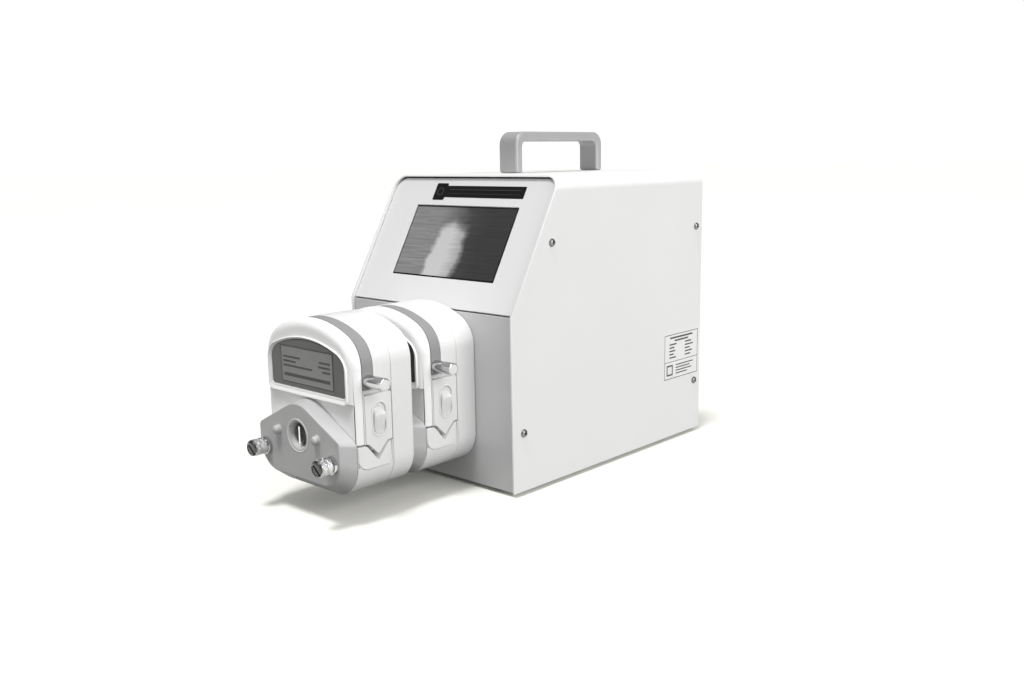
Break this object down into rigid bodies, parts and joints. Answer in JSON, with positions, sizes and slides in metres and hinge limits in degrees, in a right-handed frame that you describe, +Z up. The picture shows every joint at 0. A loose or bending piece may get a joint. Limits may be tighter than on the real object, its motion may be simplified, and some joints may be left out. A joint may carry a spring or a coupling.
{
  "type": "peristaltic pump",
  "caption": "Bench peristaltic pump: sheet-metal drive unit with slanted touch screen and carry handle, and stacked easy-load pump heads on one drive axis.",
  "frame": {"origin": "middle of the bounding box's underside, on the plane the feet stand on", "axes": "+Z up, +Y towards the back of the drive unit (the pump heads point to -Y), +X to the right of a person facing the pump's front"},
  "size_m": [0.1864, 0.3893, 0.2687],
  "materials": {
    "white_paint": "white powder coat, semi-matte, fine texture",
    "grey_panel": "grey, smooth satin",
    "handle_satin": "bead-blasted, satin",
    "screen": "dark glossy display glass",
    "head_white": "moulded, white, semi-gloss",
    "window_dark": "dark smoked window, glossy",
    "lever_grey": "moulded, mid grey, matte",
    "chrome": "polished",
    "steel": "turned or rolled, bare",
    "aluminium": "milled or folded, bare",
    "motor_black": "black, satin",
    "board_green": "green solder mask with components",
    "black_plastic": "moulded, black, fine grain",
    "rubber": "matte"
  },
  "bodies": {
    "pump_body": {"cover_shell": "white_paint", "base_pan": "steel", "front_panel": "grey_panel", "control_panel": "white_paint", "touch_screen": "screen", "rear_panel": "white_paint", "carry_handle": "handle_satin", "side_screw_right_1": "chrome", "side_screw_right_2": "chrome", "side_screw_right_3": "chrome", "side_screw_right_4": "chrome", "side_screw_left_1": "chrome", "side_screw_left_2": "chrome", "side_screw_left_3": "chrome", "side_screw_left_4": "chrome", "foot_1": "rubber", "foot_2": "rubber", "foot_3": "rubber", "foot_4": "rubber", "power_inlet": "black_plastic", "fan_frame": "black_plastic", "motor": "motor_black", "motor_plate": "aluminium", "control_board": "board_green", "power_supply": "aluminium", "rear_back_housing": "head_white", "rear_lower_body": "head_white", "rear_nose_plate": "head_white", "rear_tube_seat_right": "head_white", "rear_tube_seat_left": "head_white", "front_back_housing": "head_white", "front_lower_body": "head_white", "front_nose_plate": "head_white", "front_tube_seat_right": "head_white", "front_tube_seat_left": "head_white"},
    "drive_shaft": {"drive_shaft": "steel"},
    "power_switch": {"power_switch": "black_plastic"},
    "fan_rotor": {"fan_rotor": "black_plastic"},
    "thumb_screw_right": {"thumb_screw_right": "chrome"},
    "thumb_screw_left": {"thumb_screw_left": "chrome"},
    "rear_rotor": {"rear_rotor": "steel"},
    "rear_roller_1": {"rear_roller_1": "steel"},
    "rear_roller_2": {"rear_roller_2": "steel"},
    "rear_roller_3": {"rear_roller_3": "steel"},
    "rear_jaw": {"rear_jaw": "head_white", "rear_cap": "head_white", "rear_window_plate": "window_dark"},
    "rear_lever": {"rear_lever": "lever_grey"},
    "rear_tube_clamp_right": {"rear_tube_clamp_right": "head_white"},
    "rear_tube_clamp_left": {"rear_tube_clamp_left": "head_white"},
    "front_rotor": {"front_rotor": "steel"},
    "front_roller_1": {"front_roller_1": "steel"},
    "front_roller_2": {"front_roller_2": "steel"},
    "front_roller_3": {"front_roller_3": "steel"},
    "front_jaw": {"front_jaw": "head_white", "front_cap": "head_white", "front_window_plate": "window_dark"},
    "front_lever": {"front_lever": "lever_grey"},
    "front_tube_clamp_right": {"front_tube_clamp_right": "head_white"},
    "front_tube_clamp_left": {"front_tube_clamp_left": "head_white"}
  },
  "joints": [
    {"name": "drive_spin", "type": "hinge", "parent": "pump_body", "child": "drive_shaft", "pos_m": [0, -0.0299, 0.0596], "axis": [0, -1, 0], "continuous": true},
    {"name": "rear_rotor_spin", "type": "hinge", "parent": "pump_body", "child": "rear_rotor", "pos_m": [0, -0.0854, 0.0596], "axis": [0, -1, 0], "continuous": true},
    {"name": "rear_roller_1_spin", "type": "hinge", "parent": "rear_rotor", "child": "rear_roller_1", "pos_m": [0.02165, -0.0854, 0.0721], "axis": [0, -1, 0], "continuous": true},
    {"name": "rear_roller_2_spin", "type": "hinge", "parent": "rear_rotor", "child": "rear_roller_2", "pos_m": [-0.02165, -0.0854, 0.0721], "axis": [0, -1, 0], "continuous": true},
    {"name": "rear_roller_3_spin", "type": "hinge", "parent": "rear_rotor", "child": "rear_roller_3", "pos_m": [0, -0.0854, 0.0346], "axis": [0, -1, 0], "continuous": true},
    {"name": "rear_jaw_lift", "type": "slide", "parent": "pump_body", "child": "rear_jaw", "axis": [0, 0, 1], "range_m": [0, 0.01]},
    {"name": "rear_lever_swing", "type": "hinge", "parent": "rear_jaw", "child": "rear_lever", "pos_m": [0, -0.094, 0.1015], "axis": [0, -1, 0], "range_deg": [0, 80]},
    {"name": "rear_tube_clamp_right_slide", "type": "slide", "parent": "rear_jaw", "child": "rear_tube_clamp_right", "axis": [0, 0, 1], "range_m": [0, 0.003]},
    {"name": "rear_tube_clamp_left_slide", "type": "slide", "parent": "rear_jaw", "child": "rear_tube_clamp_left", "axis": [0, 0, 1], "range_m": [0, 0.003]},
    {"name": "front_rotor_spin", "type": "hinge", "parent": "pump_body", "child": "front_rotor", "pos_m": [0, -0.1484, 0.0596], "axis": [0, -1, 0], "continuous": true},
    {"name": "front_roller_1_spin", "type": "hinge", "parent": "front_rotor", "child": "front_roller_1", "pos_m": [0.02165, -0.1484, 0.0721], "axis": [0, -1, 0], "continuous": true},
    {"name": "front_roller_2_spin", "type": "hinge", "parent": "front_rotor", "child": "front_roller_2", "pos_m": [-0.02165, -0.1484, 0.0721], "axis": [0, -1, 0], "continuous": true},
    {"name": "front_roller_3_spin", "type": "hinge", "parent": "front_rotor", "child": "front_roller_3", "pos_m": [0, -0.1484, 0.0346], "axis": [0, -1, 0], "continuous": true},
    {"name": "front_jaw_lift", "type": "slide", "parent": "pump_body", "child": "front_jaw", "axis": [0, 0, 1], "range_m": [0, 0.01]},
    {"name": "front_lever_swing", "type": "hinge", "parent": "front_jaw", "child": "front_lever", "pos_m": [0, -0.157, 0.1015], "axis": [0, -1, 0], "range_deg": [0, 80]},
    {"name": "front_tube_clamp_right_slide", "type": "slide", "parent": "front_jaw", "child": "front_tube_clamp_right", "axis": [0, 0, 1], "range_m": [0, 0.003]},
    {"name": "front_tube_clamp_left_slide", "type": "slide", "parent": "front_jaw", "child": "front_tube_clamp_left", "axis": [0, 0, 1], "range_m": [0, 0.003]},
    {"name": "thumb_screw_right_turn", "type": "hinge", "parent": "pump_body", "child": "thumb_screw_right", "pos_m": [0.0384, -0.1869, 0.046], "axis": [0, -1, 0], "continuous": true},
    {"name": "thumb_screw_left_turn", "type": "hinge", "parent": "pump_body", "child": "thumb_screw_left", "pos_m": [-0.0384, -0.1869, 0.046], "axis": [0, -1, 0], "continuous": true},
    {"name": "power_switch_rock", "type": "hinge", "parent": "pump_body", "child": "power_switch", "pos_m": [-0.048, 0.188, 0.08], "axis": [1, 0, 0], "range_deg": [0, 14]},
    {"name": "fan_spin", "type": "hinge", "parent": "pump_body", "child": "fan_rotor", "pos_m": [0.042, 0.181, 0.168], "axis": [0, 1, 0], "continuous": true}
  ],
  "couplings": [
    {"joint": "rear_rotor_spin", "follows": "drive_spin", "ratio": 1},
    {"joint": "rear_roller_1_spin", "follows": "drive_spin", "ratio": -3.9412},
    {"joint": "rear_roller_2_spin", "follows": "drive_spin", "ratio": -3.9412},
    {"joint": "rear_roller_3_spin", "follows": "drive_spin", "ratio": -3.9412},
    {"joint": "rear_lever_swing", "follows": "rear_jaw_lift", "rad_per_m": 139.63},
    {"joint": "front_rotor_spin", "follows": "drive_spin", "ratio": 1},
    {"joint": "front_roller_1_spin", "follows": "drive_spin", "ratio": -3.9412},
    {"joint": "front_roller_2_spin", "follows": "drive_spin", "ratio": -3.9412},
    {"joint": "front_roller_3_spin", "follows": "drive_spin", "ratio": -3.9412},
    {"joint": "front_lever_swing", "follows": "front_jaw_lift", "rad_per_m": 139.63}
  ]
}
